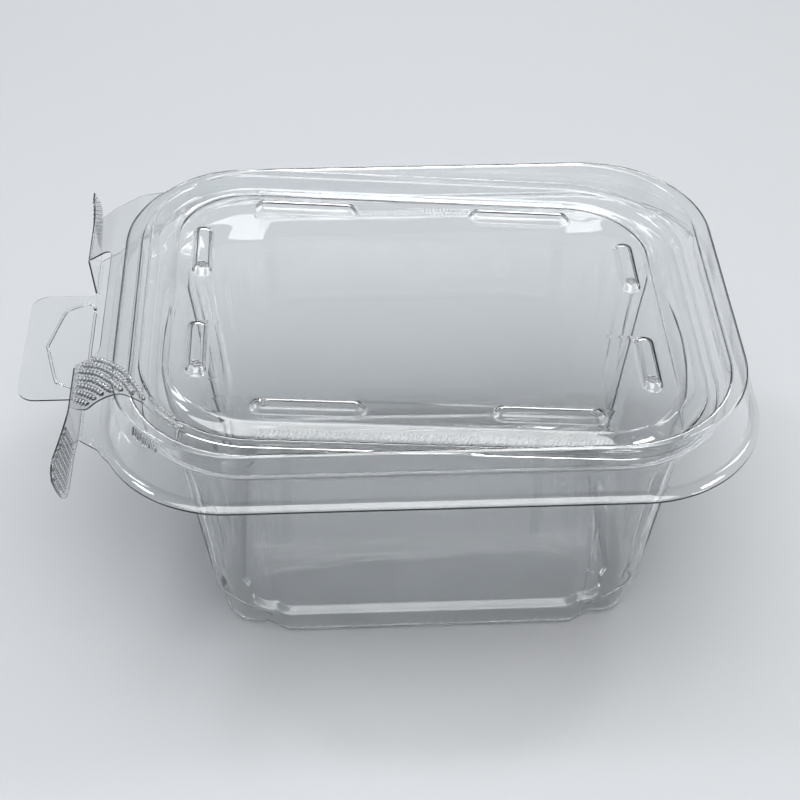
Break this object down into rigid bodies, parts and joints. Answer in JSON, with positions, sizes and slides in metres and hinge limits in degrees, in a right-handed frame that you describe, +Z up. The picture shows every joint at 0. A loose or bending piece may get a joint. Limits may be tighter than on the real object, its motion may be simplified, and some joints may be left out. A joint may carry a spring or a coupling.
{
  "type": "tamper-evident food container",
  "caption": "Clear thermoformed food container with rounded tub, raised rim, recessed ribbed lid, fold-open tear strip with pull grips and a hang tab.",
  "frame": {"origin": "bottom centre of the bounding box, on the plane the tub stands on", "axes": "+X from the hinge side to the far side, +Y to the back, +Z up"},
  "size_m": [0.1768, 0.1184, 0.0814],
  "materials": {
    "clear_film": "clear, glossy",
    "clear_lid": "clear, glossy",
    "clear_web": "clear, glossy"
  },
  "bodies": {
    "tub": {"base": "clear_film"},
    "strip": {"tear_strip_front": "clear_web", "tear_strip_back": "clear_web"},
    "cover": {"lid": "clear_lid"}
  },
  "joints": [
    {"name": "strip_fold", "type": "hinge", "parent": "tub", "child": "strip", "pos_m": [-0.07245, 0, 0.06385], "axis": [0, -1, 0], "range_deg": [0, 90]},
    {"name": "lid_fold", "type": "hinge", "parent": "strip", "child": "cover", "pos_m": [-0.07325, 0, 0.07485], "axis": [0, -1, 0], "range_deg": [0, 94.5]}
  ]
}
